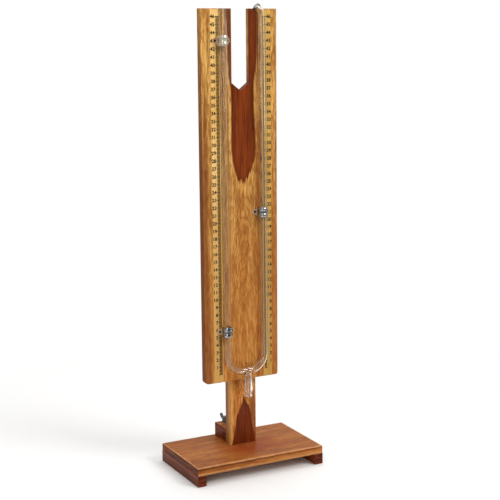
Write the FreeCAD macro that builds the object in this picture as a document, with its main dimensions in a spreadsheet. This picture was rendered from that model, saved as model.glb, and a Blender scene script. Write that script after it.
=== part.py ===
import FreeCAD, Part
import os
import re
import Sketcher
from FreeCAD import Placement, Rotation, Vector

# A two-limb glass tube on a wooden stand, for comparing the densities of liquids.
# A slotted upright board carries the tube and a scale beside each limb. A post and
# a bolted block hold the board over a base on two feet.
# Frame: +X to the right along the base, +Y to the back, +Z up, origin in the middle
# of the footprint on the surface that the feet stand on. All sizes are in millimetres.

SIZES = {
    # base
    "base_length": 184.2,
    "base_depth": 112.7,
    "base_thickness": 10.3,
    "base_edge_round": 1.2,
    "foot_width": 12.0,
    "foot_height": 14.6,
    "foot_edge_round": 0.8,
    # post and the block behind it
    "post_width": 38.2,
    "post_thickness": 15.5,
    "post_length": 375.0,
    "post_middle": 4.15,
    "post_front": 3.36,
    "post_edge_round": 1.2,
    "block_depth": 33.5,
    "block_height": 18.5,
    "block_edge_round": 0.8,
    # upright board with its slot, open at the top and ending in a point
    "board_width": 107.4,
    "board_height": 480.8,
    "board_thickness": 10.2,
    "board_middle": -2.3,
    "board_lift": 92.2,
    "board_edge_round": 0.9,
    "left_corner_round": 5.0,
    "right_corner_round": 3.0,
    "slot_width": 25.5,
    "slot_offset": 1.9,
    "slot_depth": 92.3,
    "slot_point": 10.0,
    # printed scales on the board's face
    "scale_width": 12.8,
    "scale_thickness": 0.3,
    "left_scale_inset": 13.2,
    "right_scale_inset": 9.0,
    # glass tube: one blown piece with two limbs, a bend and an outlet below it
    "tube_radius": 5.0,
    "tube_wall": 1.2,
    "tube_gap": 1.0,
    "tube_offset": 3.4,
    "tube_lift": 13.4,
    "tube_lean": 0.31,
    "limb_spacing": 53.5,
    "bend_radius": 21.0,
    "left_limb_drop": 0.2,
    "right_limb_drop": 7.4,
    "mouth_bend_radius": 8.0,
    "mouth_bend_angle": 45.0,
    "mouth_length": 6.5,
    "outlet_offset": 2.0,
    "outlet_board_gap": 0.2,
    "outlet_shoulder": 8.0,
    "outlet_bulge_radius": 6.5,
    "outlet_bulge_height": 10.0,
    "outlet_bulge_drop": 24.0,
    "outlet_neck_radius": 4.7,
    "outlet_rim_radius": 5.6,
    "outlet_rim_height": 5.6,
    "outlet_length": 36.2,
    # tube clips: saddles with two raised bands, and the screws in their ears
    "clip_thickness": 0.6,
    "clip_clearance": 0.15,
    "clip_height": 13.0,
    "clip_band_rise": 0.7,
    "clip_band_height": 4.4,
    "clip_band_spacing": 7.5,
    "clip_ear_height": 7.0,
    "clip_screw_spacing": 17.6,
    "lower_left_clip_height": 55.5,
    "upper_left_clip_drop": 39.2,
    "right_clip_height": 208.9,
    "clip_screw_radius": 0.9,
    "clip_screw_length": 8.0,
    "clip_screw_head_radius": 1.5,
    "clip_screw_head_height": 1.0,
    # clamp bolt with its washers and wing nut
    "bolt_radius": 2.5,
    "bolt_head_radius": 4.6,
    "bolt_head_height": 3.5,
    "bolt_projection": 2.5,
    "bolt_inset": 12.0,
    "bolt_back_inset": 8.0,
    "bolt_clearance": 0.1,
    "washer_radius": 5.0,
    "washer_thickness": 1.0,
    "nut_clearance": 0.05,
    "nut_gap": 0.1,
    "hub_base_radius": 4.5,
    "hub_top_radius": 3.6,
    "hub_height": 5.5,
    "wing_reach": 10.5,
    "wing_top": 10.5,
    "wing_start": 1.6,
    "wing_low": 5.0,
    "wing_inner": 5.6,
    "wing_thickness": 2.0,
    "wing_round": 1.9,
    "wing_turn": 102.0,
    # countersunk wood screws
    "screw_clearance": 0.05,
    "foot_screw_radius": 1.75,
    "foot_screw_length": 20.0,
    "foot_screw_head_radius": 3.5,
    "foot_screw_head_height": 2.2,
    "foot_screw_spacing": 72.0,
    "post_screw_radius": 1.75,
    "post_screw_length": 22.0,
    "post_screw_head_radius": 3.5,
    "post_screw_head_height": 2.2,
    "post_screw_inset": 28.0,
    "block_screw_radius": 2.0,
    "block_screw_length": 45.0,
    "block_screw_head_radius": 4.0,
    "block_screw_head_height": 2.5,
    "block_screw_spacing": 26.0,
}

# places that more than one piece is set against, as formulas of the sizes
BASE_TOP = "(foot_height + base_thickness)"
BLOCK_TOP = f"({BASE_TOP} + block_height)"
POST_BACK = "(post_front + post_thickness)"
BLOCK_BACK = f"({POST_BACK} + block_depth)"
BLOCK_LEFT = "(post_middle - post_width / 2)"
BOARD_FRONT = "(post_front - board_thickness)"
BOARD_BOTTOM = f"({BASE_TOP} + board_lift)"
BOLT_ACROSS = f"({BLOCK_LEFT} + bolt_inset)"
BOLT_DEEP = f"({BLOCK_BACK} - bolt_back_inset)"
NUT_SEAT = f"({BLOCK_TOP} + washer_thickness + nut_gap)"
TUBE_ACROSS = "(board_middle + tube_offset)"
TUBE_DEEP = f"({BOARD_FRONT} - tube_gap - tube_radius)"
TUBE_UP = f"({BOARD_BOTTOM} + tube_lift)"
LEFT_LIMB = "(board_height - tube_lift - left_limb_drop)"
RIGHT_LIMB = "(board_height - tube_lift - right_limb_drop)"
OUTLET_RADIUS = "(tube_radius + tube_gap - outlet_board_gap)"

UP = Rotation()
BACKWARD = Rotation(Vector(1, 0, 0), -90)
FORWARD = Rotation(Vector(1, 0, 0), 90)
RIGHTWARD = Rotation(Vector(0, 1, 0), 90)
AXIS_OF = {"up": (UP, (0, 0, 1)), "back": (BACKWARD, (0, 1, 0)), "front": (FORWARD, (0, -1, 0))}

doc = FreeCAD.newDocument("liquid_column_stand")
sheet = doc.addObject("Spreadsheet::Sheet", "dims")
for row, (alias, size) in enumerate(SIZES.items(), start=1):
    sheet.set(f"A{row}", alias.replace("_", " "))
    sheet.set(f"B{row}", str(size))
    sheet.setAlias(f"B{row}", alias)
doc.recompute()
NODES = []


def formula(text):
    """Name the sheet before each size in a formula."""
    return re.sub(r"[a-z_]+", lambda word: "dims." * (word.group() in SIZES) + word.group(), text)


def number(text):
    """The value that a formula has now."""
    return float(sheet.evalExpression(formula(text)))


def bind(thing, **sizes):
    for name, text in sizes.items():
        thing.setExpression(name, formula(text))
    return thing


def place(thing, across, deep, up, turn=UP):
    """Put a thing's own origin at three formulas, turned as a whole."""
    thing.Placement = Placement(Vector(), turn)
    for axis, text in zip("xyz", (across, deep, up)):
        thing.setExpression(f"Placement.Base.{axis}", formula(text))
    return thing


def box(length, width, height, corner):
    return place(bind(doc.addObject("Part::Box"), Length=length, Width=width, Height=height), *corner)


def cylinder(radius, height, start, turn=UP):
    return place(bind(doc.addObject("Part::Cylinder"), Radius=radius, Height=height), *start, turn)


def cone(low, high, height, start, turn=UP):
    solid = doc.addObject("Part::Cone")
    return place(bind(solid, Radius1=low, Radius2=high, Height=height), *start, turn)


def elbow(bend, radius, angle, middle, start):
    """A bent stretch of round bar in the upright plane across, swept from a start towards up."""
    solid = bind(doc.addObject("Part::Torus"), Radius1=bend, Radius2=radius, Angle3=angle)
    return place(solid, *middle, FORWARD.multiply(Rotation(Vector(0, 0, 1), start)))


def joined(solids):
    union = doc.addObject("Part::MultiFuse")
    union.Shapes = solids
    return union


def less(solid, tools):
    cut = doc.addObject("Part::Cut")
    cut.Base = solid
    cut.Tool = joined(tools) if len(tools) > 1 else tools[0]
    return cut


def node(thing, name):
    thing.Label = name
    NODES.append(thing)
    return thing


def body_with(plane_role, corners, length):
    """A body padded from a closed outline, each corner held by two formulas."""
    body = doc.addObject("PartDesign::Body")
    plane = next(item for item in body.Origin.OriginFeatures if item.Role == plane_role)
    sketch = outline(body, plane, corners)
    pad = body.newObject("PartDesign::Pad")
    pad.Profile = sketch
    bind(pad, Length=length)
    doc.recompute()
    return body


def outline(body, plane, corners):
    sketch = body.newObject("Sketcher::SketchObject")
    sketch.AttachmentSupport = [(plane, "")]
    sketch.MapMode = "FlatFace"
    points = [Vector(number(x), number(y), 0) for x, y in corners]
    for index, point in enumerate(points):
        sketch.addGeometry(Part.LineSegment(point, points[(index + 1) % len(points)]), False)
    for index in range(len(points)):
        after = (index + 1) % len(points)
        sketch.addConstraint(Sketcher.Constraint("Coincident", index, 2, after, 1))
    for index, (x, y) in enumerate(corners):
        for kind, text, now in (("DistanceX", x, points[index].x), ("DistanceY", y, points[index].y)):
            held = sketch.addConstraint(Sketcher.Constraint(kind, -1, 1, index, 1, now))
            sketch.setExpression(f"Constraints[{held}]", formula(text))
    return sketch


def rounded(body, radius, wanted):
    """Round the edges of a body's last feature that pass a test on their two ends."""
    names = []
    before = body.Tip
    for index, edge in enumerate(before.Shape.Edges, start=1):
        ends = [vertex.Point for vertex in edge.Vertexes]
        if len(ends) == 2 and wanted(*ends):
            names.append(f"Edge{index}")
    fillet = body.newObject("PartDesign::Fillet")
    fillet.Base = (before, names)
    bind(fillet, Radius=radius)
    doc.recompute()
    return body


def same(*values):
    return max(values) - min(values) < 1e-6


def block(width, depth, height, corner, radius, wanted):
    """A plain wooden bar, set by its low corner, with the chosen edges rounded."""
    corners = [("0", "0"), (width, "0"), (width, depth), ("0", depth)]
    return place(rounded(body_with("XY_Plane", corners, height), radius, wanted), *corner)


def along(start, direction, distance):
    """The point at a distance from a start, as formulas."""
    steps = AXIS_OF[direction][1]
    return tuple(f"({text}) + ({step}) * ({distance})" for text, step in zip(start, steps))


def flat_screw(kind, head, direction, extra="0"):
    """A countersunk screw, or with extra its hole, from the middle of its head."""
    turn = AXIS_OF[direction][0]
    shank, wide = f"{kind}_radius + {extra}", f"{kind}_head_radius + {extra}"
    rise, point = f"{kind}_head_height", f"{kind}_radius * 1.6"
    shoulder = along(head, direction, rise)
    tip = along(head, direction, f"{kind}_length - {point}")
    straight = f"{kind}_length - {rise} - {point}"
    parts = [
        cone(wide, shank, rise, head, turn),
        cylinder(shank, straight, shoulder, turn),
        cone(shank, f"{shank} - {kind}_radius * 0.8", f"{point} + {extra}", tip, turn),
    ]
    return joined(parts)


def screws_and_holes(kind, heads, direction):
    """One node for each screw, and a tool for the hole that each one sits in."""
    holes = []
    for index, head in enumerate(heads, start=1):
        node(flat_screw(kind, head, direction), f"{kind}_{index}")
        holes.append(flat_screw(kind, head, direction, "screw_clearance"))
    return holes


def make_screws():
    """The wood screws, and their holes by the place that they hold."""
    across = "(base_length / 2 - foot_width / 2)"
    foot_heads = [(f"{side} * {across}", f"{end} * foot_screw_spacing / 2", "0")
                  for side in (-1, 1) for end in (-1, 1)]
    lowest = f"({BOARD_BOTTOM} + post_screw_inset)"
    highest = f"({BASE_TOP} + post_length - post_screw_inset)"
    post_heads = [("post_middle", POST_BACK, f"{lowest} + ({highest} - {lowest}) * {share}")
                  for share in (0, 0.5, 1)]
    block_heads = [(f"post_middle + {side} * block_screw_spacing / 2", BLOCK_BACK,
                    f"{BASE_TOP} + block_height / 2") for side in (-1, 1)]
    return {
        "foot": screws_and_holes("foot_screw", foot_heads, "up"),
        "post": screws_and_holes("post_screw", post_heads, "front"),
        "block": screws_and_holes("block_screw", block_heads, "front"),
    }


def bolt_hole():
    reach = f"{BLOCK_TOP} - foot_height + 2"
    return cylinder("bolt_radius + bolt_clearance", reach, (BOLT_ACROSS, BOLT_DEEP, "foot_height - 1"))


def make_base(holes):
    def upper_or_upright(start, end):
        top = number("base_thickness")
        return same(start.z, end.z, top) or not same(start.z, end.z)

    corner = ("-base_length / 2", "-base_depth / 2", "foot_height")
    board = block("base_length", "base_depth", "base_thickness", corner, "base_edge_round", upper_or_upright)
    node(less(board, holes["foot"] + [bolt_hole()]), "base_board")

    def long_lower(start, end):
        return same(start.z, end.z, 0) and same(start.x, end.x)

    half = len(holes["foot"]) // 2
    sides = {"left_foot": ("-base_length / 2", holes["foot"][:half]),
             "right_foot": ("base_length / 2 - foot_width", holes["foot"][half:])}
    for name, (left, own_holes) in sides.items():
        corner = (left, "-base_depth / 2", "0")
        foot = block("foot_width", "base_depth", "foot_height", corner, "foot_edge_round", long_lower)
        node(less(foot, own_holes), name)


def make_post(holes):
    def upright_or_top(start, end):
        top = number("post_length")
        return same(start.z, end.z, top) or not same(start.z, end.z)

    corner = (BLOCK_LEFT, "post_front", BASE_TOP)
    post = block("post_width", "post_thickness", "post_length", corner, "post_edge_round", upright_or_top)
    node(less(post, holes["post"] + holes["block"]), "post")

    def back_and_top(start, end):
        top, back = number("block_height"), number("block_depth")
        upper = same(start.z, end.z, top) and not same(start.y, end.y, 0)
        return upper or (same(start.y, end.y, back) and not same(start.z, end.z))

    corner = (BLOCK_LEFT, POST_BACK, BASE_TOP)
    foot_block = block("post_width", "block_depth", "block_height", corner, "block_edge_round", back_and_top)
    node(less(foot_block, holes["block"] + [bolt_hole()]), "post_block")


def clip_frame():
    """Where each clip's own origin lies: on the limb's axis, at its height."""
    lean = "(tube_lean * 1 deg)"
    clips = (("upper_left", -1, f"({LEFT_LIMB} - upper_left_clip_drop)"),
             ("lower_left", -1, "lower_left_clip_height"), ("right", 1, "right_clip_height"))
    frames = {}
    for name, side, up in clips:
        sideways = f"({side} * limb_spacing / 2)"
        across = f"{TUBE_ACROSS} + {sideways} * cos({lean}) - {up} * sin({lean})"
        height = f"{TUBE_UP} + {up} * cos({lean}) + {sideways} * sin({lean})"
        frames[name] = (across, TUBE_DEEP, height)
    return frames


def ear_middle(frame, side):
    """The middle of an ear's hole, on the seat of the ear."""
    across, deep, up = frame
    lean = "(tube_lean * 1 deg)"
    step = f"({side} * clip_screw_spacing / 2)"
    seat = "(tube_radius + tube_gap - scale_thickness)"
    return (f"{across} + {step} * cos({lean})", f"{deep} + {seat}", f"{up} + {step} * sin({lean})")


def leaning(thing, across, deep, up):
    """Put a thing in the tube's own frame, which leans to the left."""
    place(thing, across, deep, up, Rotation(Vector(0, 1, 0), -1))
    thing.setExpression("Placement.Rotation.Angle", formula("-tube_lean * 1 deg"))
    thing.Placement.Rotation.Axis = Vector(0, 1, 0)
    return thing


def arch(radius, height, reach):
    """Half a round hoop over the tube's front, with straight legs back to the board."""
    low = f"-({height}) / 2"
    hoop = cylinder(radius, height, ("0", "0", low))
    legs = box(f"2 * ({radius})", reach, height, (f"-({radius})", "0", low))
    return [hoop, legs]


def band(radius, reach, side):
    """One of the two raised bands that cross the saddle."""
    low = f"{side} * clip_band_spacing / 2 - clip_band_height / 2"
    hoop = cylinder(radius, "clip_band_height", ("0", "0", low))
    legs = box(f"2 * ({radius})", reach, "clip_band_height", (f"-({radius})", "0", low))
    return [hoop, legs]


def make_clip(name, frame):
    inner = "(tube_radius + clip_clearance)"
    outer = f"({inner} + clip_thickness)"
    seat = "(tube_radius + tube_gap - scale_thickness)"
    ear_front = f"({seat} - clip_thickness)"
    solids = arch(outer, "clip_height", seat)
    for side in (-1, 1):
        solids += band(f"{outer} + clip_band_rise", seat, side)
    solids.append(box("clip_screw_spacing", "clip_thickness", "clip_ear_height",
                      ("-clip_screw_spacing / 2", ear_front, "-clip_ear_height / 2")))
    tools = arch(inner, "clip_height + 2", f"{seat} + 2")
    for side in (-1, 1):
        across = f"{side} * clip_screw_spacing / 2"
        solids.append(cylinder("clip_ear_height / 2", "clip_thickness", (across, ear_front, "0"), BACKWARD))
        tools.append(cylinder("clip_screw_radius + screw_clearance", "clip_thickness + 2",
                              (across, f"{ear_front} - 1", "0"), BACKWARD))
    node(leaning(less(joined(solids), tools), *frame), f"tube_clip_{name}")


def make_clip_screw(name, middle):
    """A small round-headed screw through one ear, its head on the ear's front."""
    ear = along(middle, "front", "clip_thickness")
    head = cylinder("clip_screw_head_radius", "clip_screw_head_height", ear, FORWARD)
    shank = cylinder("clip_screw_radius", "clip_screw_length", ear, BACKWARD)
    node(joined([head, shank]), f"clip_screw_{name}")


def clip_hole(middle):
    ear = along(middle, "front", "clip_thickness")
    radius = "clip_screw_radius + screw_clearance"
    return cylinder(radius, "clip_screw_length + screw_clearance", ear, BACKWARD)


def make_clips():
    """The three clips with their screws, and the hole of each screw by its name."""
    holes = {}
    for name, frame in clip_frame().items():
        make_clip(name, frame)
        for side, word in ((-1, "outer"), (1, "inner")):
            turn = side if "left" in name else -side
            middle = ear_middle(frame, turn)
            make_clip_screw(f"{name}_{word}", middle)
            holes[f"{name}_{word}"] = clip_hole(middle)
    return holes


def make_board(post_holes, clip_holes):
    left, right = "-board_width / 2", "board_width / 2"
    slot_left, slot_right = "slot_offset - slot_width / 2", "slot_offset + slot_width / 2"
    shoulder = "board_height - slot_depth"
    corners = [(left, "0"), (right, "0"), (right, "board_height"), (slot_right, "board_height"),
               (slot_right, shoulder), ("slot_offset", f"{shoulder} - slot_point"),
               (slot_left, shoulder), (slot_left, "board_height"), (left, "board_height")]
    body = body_with("XZ_Plane", corners, "board_thickness")

    def lower_corner(side):
        middle = number("board_width / 2") * side
        return lambda start, end: same(start.x, end.x, middle) and same(start.z, end.z, 0)

    rounded(body, "left_corner_round", lower_corner(-1))
    rounded(body, "right_corner_round", lower_corner(1))
    rounded(body, "board_edge_round", lambda start, end: same(start.y, end.y))
    place(body, "board_middle", "post_front", BOARD_BOTTOM)
    node(less(body, post_holes + list(clip_holes.values())), "scale_board")


def make_scales(clip_holes):
    insets = {"left_scale": "board_middle - board_width / 2 + left_scale_inset",
              "right_scale": "board_middle + board_width / 2 - right_scale_inset - scale_width"}
    crossed = {"left_scale": ["upper_left_outer", "lower_left_outer"], "right_scale": ["right_outer"]}
    margin = "(board_edge_round + 0.1)"
    for name, left in insets.items():
        corner = (left, f"{BOARD_FRONT} - scale_thickness", f"{BOARD_BOTTOM} + {margin}")
        strip = box("scale_width", "scale_thickness", f"board_height - 2 * {margin}", corner)
        node(less(strip, [clip_holes[screw] for screw in crossed[name]]), name)


def tube_filling(radius, overrun):
    """The tube's path filled to a radius, in its own frame: X across, Z up its limbs."""
    side = "(limb_spacing / 2)"
    bend = "bend_radius"
    flat = f"(limb_spacing - 2 * {bend})"
    left_corner = (f"-{side} + {bend}", "0", bend)
    right_corner = (f"{side} - {bend}", "0", bend)
    solids = [
        cylinder(radius, f"{LEFT_LIMB} - {bend} + {overrun}", (f"-{side}", "0", bend)),
        cylinder(radius, f"{RIGHT_LIMB} - {bend}", (side, "0", bend)),
        cylinder(radius, flat, (f"-{flat} / 2", "0", "0"), RIGHTWARD),
        elbow(bend, radius, "90", left_corner, 180),
        elbow(bend, radius, "90", right_corner, -90),
    ]
    turned = "mouth_bend_radius"
    pivot = (f"{side} - {turned}", "0", RIGHT_LIMB)
    solids.append(elbow(turned, radius, "mouth_bend_angle", pivot, 0))
    leave = "(mouth_bend_angle * 1 deg)"
    start = (f"{side} - {turned} * (1 - cos({leave}))", "0", f"{RIGHT_LIMB} + {turned} * sin({leave})")
    mouth = cylinder(radius, f"mouth_length + {overrun}", start, Rotation(Vector(0, 1, 0), -1))
    mouth.setExpression("Placement.Rotation.Angle", formula("-mouth_bend_angle * 1 deg"))
    solids.append(mouth)
    return solids


def swelling(radius, height, drop):
    """A rounded swelling on the outlet, at a drop below the bend's axis."""
    solid = doc.addObject("Part::Ellipsoid")
    bind(solid, Radius1=f"{height} / 2", Radius2=radius, Radius3=radius)
    return place(solid, "outlet_offset", "0", f"-({drop})")


def make_tube():
    bore = "(tube_radius - tube_wall)"
    start = "(tube_radius * 0.3)"
    shell = tube_filling("tube_radius", "0")
    shell += [
        cone(OUTLET_RADIUS, "tube_radius * 0.8", f"outlet_shoulder - {start}",
             ("outlet_offset", "0", "-outlet_shoulder")),
        cylinder(OUTLET_RADIUS, "outlet_bulge_drop - outlet_shoulder",
                 ("outlet_offset", "0", "-outlet_bulge_drop")),
        swelling("outlet_bulge_radius", "outlet_bulge_height", "outlet_bulge_drop"),
        cylinder("outlet_neck_radius", "outlet_length - outlet_bulge_drop",
                 ("outlet_offset", "0", "-outlet_length")),
        swelling("outlet_rim_radius", "outlet_rim_height", "outlet_length - outlet_rim_height / 2"),
    ]
    hollow = tube_filling(bore, "2")
    hollow.append(cylinder("outlet_neck_radius - tube_wall", "outlet_length + 1",
                           ("outlet_offset", "0", "-outlet_length - 1")))
    tube = less(joined(shell), hollow)
    node(leaning(tube, TUBE_ACROSS, TUBE_DEEP, TUBE_UP), "u_tube")


def make_bolt():
    head = doc.addObject("Part::Prism")
    head.Polygon = 6
    bind(head, Circumradius="bolt_head_radius", Height="bolt_head_height")
    place(head, BOLT_ACROSS, BOLT_DEEP, "foot_height - washer_thickness - bolt_head_height")
    foot = "foot_height - washer_thickness"
    length = f"{NUT_SEAT} + hub_height + bolt_projection - ({foot})"
    shank = cylinder("bolt_radius", length, (BOLT_ACROSS, BOLT_DEEP, foot))
    node(joined([head, shank]), "clamp_bolt")
    for name, low in (("lower_washer", foot), ("upper_washer", BLOCK_TOP)):
        ring = cylinder("washer_radius", "washer_thickness", (BOLT_ACROSS, BOLT_DEEP, low))
        hole = cylinder("bolt_radius + bolt_clearance", "washer_thickness + 2",
                        (BOLT_ACROSS, BOLT_DEEP, f"{low} - 1"))
        node(less(ring, [hole]), name)


def make_wing_nut():
    right_wing = [("wing_inner", "wing_start"), ("wing_reach", "wing_low"),
                  ("wing_reach", "wing_top"), ("wing_inner", "wing_top"), ("hub_top_radius", "hub_height")]
    corners = [("0", "wing_start")] + right_wing
    corners += [(f"-{x}", y) for x, y in reversed(right_wing)]
    wings = body_with("XZ_Plane", corners, "wing_thickness")

    def outer(start, end):
        far = number("wing_inner")
        high = number("wing_low")
        return same(start.x, end.x) and same(start.z, end.z) and abs(start.x) >= far and start.z >= high

    rounded(wings, "wing_round", outer)
    place(wings, "0", "wing_thickness / 2", "0")
    hub = cone("hub_base_radius", "hub_top_radius", "hub_height", ("0", "0", "0"))
    bore = cylinder("bolt_radius + nut_clearance", "wing_top + 2", ("0", "0", "-1"))
    nut = less(joined([hub, wings]), [bore])
    place(nut, BOLT_ACROSS, BOLT_DEEP, NUT_SEAT, Rotation(Vector(0, 0, 1), 1))
    nut.setExpression("Placement.Rotation.Angle", formula("wing_turn * 1 deg"))
    node(nut, "wing_nut")


def check_model():
    doc.recompute()
    for item in doc.Objects:
        if "Invalid" in item.State or "Error" in item.State:
            raise RuntimeError(f"{item.Label} did not recompute: {item.State}")
    for item in NODES:
        shape = item.Shape
        if shape.isNull() or not shape.isValid() or len(shape.Solids) != 1:
            raise RuntimeError(f"{item.Label} is not one valid solid: {len(shape.Solids)}")


def write_parts():
    os.makedirs("parts", exist_ok=True)
    for item in NODES:
        item.Shape.exportStep(os.path.join("parts", f"{item.Label}.step"))


screw_holes = make_screws()
make_base(screw_holes)
make_post(screw_holes)
clip_screw_holes = make_clips()
make_board(screw_holes["post"], clip_screw_holes)
make_scales(clip_screw_holes)
make_tube()
make_bolt()
make_wing_nut()
check_model()
write_parts()
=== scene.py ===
import math
from collections import namedtuple

import bmesh
import bpy
from mathutils import Matrix, Vector


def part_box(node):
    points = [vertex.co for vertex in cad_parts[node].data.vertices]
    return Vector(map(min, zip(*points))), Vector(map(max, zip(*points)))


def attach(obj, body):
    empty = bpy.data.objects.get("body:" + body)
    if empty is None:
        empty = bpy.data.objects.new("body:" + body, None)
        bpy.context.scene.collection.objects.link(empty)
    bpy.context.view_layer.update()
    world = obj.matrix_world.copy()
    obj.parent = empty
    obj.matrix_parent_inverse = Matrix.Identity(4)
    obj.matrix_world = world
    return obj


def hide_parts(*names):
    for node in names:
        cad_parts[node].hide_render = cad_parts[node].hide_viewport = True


# Looks for the two-limb tube on its stand: wood, printed scales, blown glass and metal.
# Metres, in the frame of the CAD model: +X right, +Y back, +Z up.

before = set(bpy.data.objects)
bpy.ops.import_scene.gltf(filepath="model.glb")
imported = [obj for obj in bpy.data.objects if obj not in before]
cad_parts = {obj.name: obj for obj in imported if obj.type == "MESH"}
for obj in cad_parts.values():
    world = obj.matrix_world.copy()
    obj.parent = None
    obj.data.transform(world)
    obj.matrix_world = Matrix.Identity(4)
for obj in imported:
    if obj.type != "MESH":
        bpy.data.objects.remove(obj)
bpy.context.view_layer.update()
MM = 0.001

# Sizes that the pieces share with the CAD model, in millimetres
LEAN = math.radians(0.31)
TUBE_ORIGIN = Vector((1.1, -12.84, 130.5))
TUBE_RADIUS = 5.0
BORE_RADIUS = 3.8
HALF_SPACING = 26.75
BEND_RADIUS = 21.0
LEFT_LIMB = 467.2
RIGHT_LIMB = 460.0
MOUTH_BEND = 8.0
MOUTH_LENGTH = 6.5
OUTLET_OFFSET = 2.0
UPPER_CLIP = LEFT_LIMB - 39.2
LOWER_CLIP = 55.5
RIGHT_CLIP = 208.9
BOARD_FRONT = -6.84
BOARD_LEFT = -56.0
BOARD_BOTTOM = 117.1
SCALE_ZERO = BOARD_BOTTOM + 11.0
SCALE_THICKNESS = 0.3
CENTIMETRE = 10.0
LAST_NUMBER = 46
FEET_HEIGHT = 14.6
BOLT = Vector((-2.95, 44.36, 44.5))
BOLT_RADIUS = 2.5
WASHER_THICKNESS = 1.0
NUT_HEIGHT = 5.5
WING_TURN = math.radians(102)

# How far from a fire-polished end of the tube its rounding has points
POLISH = (0.18, 0.42, 0.6)


# Materials

def srgb(red, green, blue):
    """A colour given as it shows on a screen, 0 to 255, in the linear values that nodes take."""
    def linear(part):
        part /= 255
        return part / 12.92 if part <= 0.04045 else ((part + 0.055) / 1.055) ** 2.4
    return (linear(red), linear(green), linear(blue), 1.0)


class Nodes:
    """A node tree while it is built. Most methods add a node and return its output."""

    def __init__(self, tree):
        self.tree = tree

    def add(self, kind, **settings):
        node = self.tree.nodes.new(kind)
        for name, value in settings.items():
            setattr(node, name, value)
        return node

    def feed(self, socket, value):
        """Link a socket to another node's output, or set it to a value."""
        if isinstance(value, bpy.types.NodeSocket):
            self.tree.links.new(value, socket)
        else:
            socket.default_value = value

    def sum(self, operation, first, second=0.0, third=0.0, clamp=False):
        """One step of arithmetic, by Blender's own name for it."""
        node = self.add("ShaderNodeMath", operation=operation, use_clamp=clamp)
        for socket, value in zip(node.inputs, (first, second, third)):
            self.feed(socket, value)
        return node.outputs[0]

    def times(self, first, *others):
        """The product of all values given."""
        for other in others:
            first = self.sum("MULTIPLY", first, other)
        return first

    def step(self, value, low, high, bottom=0.0, top=1.0):
        """bottom below low and top above high, smooth between, or the reverse where low is above high."""
        node = self.add("ShaderNodeMapRange", interpolation_type="SMOOTHSTEP")
        for socket, number in zip(node.inputs, (value, low, high, bottom, top)):
            self.feed(socket, number)
        return node.outputs[0]

    def rays(self):
        """Outputs that tell what kind of ray looks at the surface."""
        return self.add("ShaderNodeLightPath").outputs


class Look(Nodes):
    """The nodes of one material."""

    def __init__(self, name):
        self.material = bpy.data.materials.new(name)
        self.material.use_nodes = True
        super().__init__(self.material.node_tree)
        self.shader = self.tree.nodes["Principled BSDF"]
        self.place = self.add("ShaderNodeTexCoord").outputs["Object"]

    def set(self, **values):
        """Set or link the shader's inputs, named with underscores for spaces."""
        for name, value in values.items():
            self.feed(self.shader.inputs[name.replace("_", " ")], value)

    def mapped(self, scale, shift=(0, 0, 0)):
        """The place on the object, stretched and moved."""
        node = self.add("ShaderNodeMapping")
        for name, value in (("Vector", self.place), ("Scale", scale), ("Location", shift)):
            self.feed(node.inputs[name], value)
        return node.outputs[0]

    def xyz(self):
        """The place on the object as three values in metres."""
        node = self.add("ShaderNodeSeparateXYZ")
        self.feed(node.inputs[0], self.place)
        return tuple(node.outputs)

    def millimetres(self):
        """The same place in millimetres."""
        return [self.times(value, 1000.0) for value in self.xyz()]

    def distance(self, vector, point=(0, 0, 0)):
        node = self.add("ShaderNodeVectorMath", operation="DISTANCE")
        self.feed(node.inputs[0], vector)
        self.feed(node.inputs[1], point)
        return node.outputs["Value"]

    def noise(self, vector, scale, detail=3.0, roughness=0.5, distortion=0.0):
        node = self.add("ShaderNodeTexNoise")
        values = {"Vector": vector, "Scale": scale, "Detail": detail,
                  "Roughness": roughness, "Distortion": distortion}
        for name, value in values.items():
            self.feed(node.inputs[name], value)
        return node.outputs["Fac"]

    def mix(self, share, first, second, blend="MIX"):
        node = self.add("ShaderNodeMix", data_type="RGBA", blend_type=blend)
        for name, value in (("Factor_Float", share), ("A_Color", first), ("B_Color", second)):
            socket = next(item for item in node.inputs if item.identifier == name)
            self.feed(socket, value)
        return next(item for item in node.outputs if item.identifier == "Result_Color")

    def over(self, colour, tone, *shares):
        """A tone laid over a colour by the product of some shares, each 0 to 1."""
        return self.mix(self.times(*shares), colour, tone)

    def bump(self, height, strength, distance):
        node = self.add("ShaderNodeBump")
        for name, value in (("Height", height), ("Strength", strength), ("Distance", distance)):
            self.feed(node.inputs[name], value)
        self.set(Normal=node.outputs[0])

    def curve(self, value, points):
        """A drawn line: the value at each share of the way, both from 0 to 1."""
        node = self.add("ShaderNodeFloatCurve")
        self.feed(node.inputs["Value"], value)
        line = node.mapping.curves[0]
        line.points[0].location = points[0]
        line.points[1].location = points[-1]
        for across, height in points[1:-1]:
            line.points.new(across, height)
        node.mapping.update()
        return node.outputs[0]

    def signed_normal(self, axis):
        """How squarely a face looks along an axis of the object, -1 to 1."""
        node = self.add("ShaderNodeSeparateXYZ")
        self.feed(node.inputs[0], self.add("ShaderNodeTexCoord").outputs["Normal"])
        return node.outputs[axis]

    def along_normal(self, axis):
        """The same for either direction, 0 to 1."""
        return self.sum("ABSOLUTE", self.signed_normal(axis))

    def surface(self, share, first, second):
        """Show a mix of two shaders."""
        node = self.add("ShaderNodeMixShader")
        for socket, value in zip(node.inputs, (share, first, second)):
            self.feed(socket, value)
        self.feed(self.tree.nodes["Material Output"].inputs["Surface"], node.outputs[0])


Grain = namedtuple("Grain", "broad streaks flecks pores rings mottle")


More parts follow.
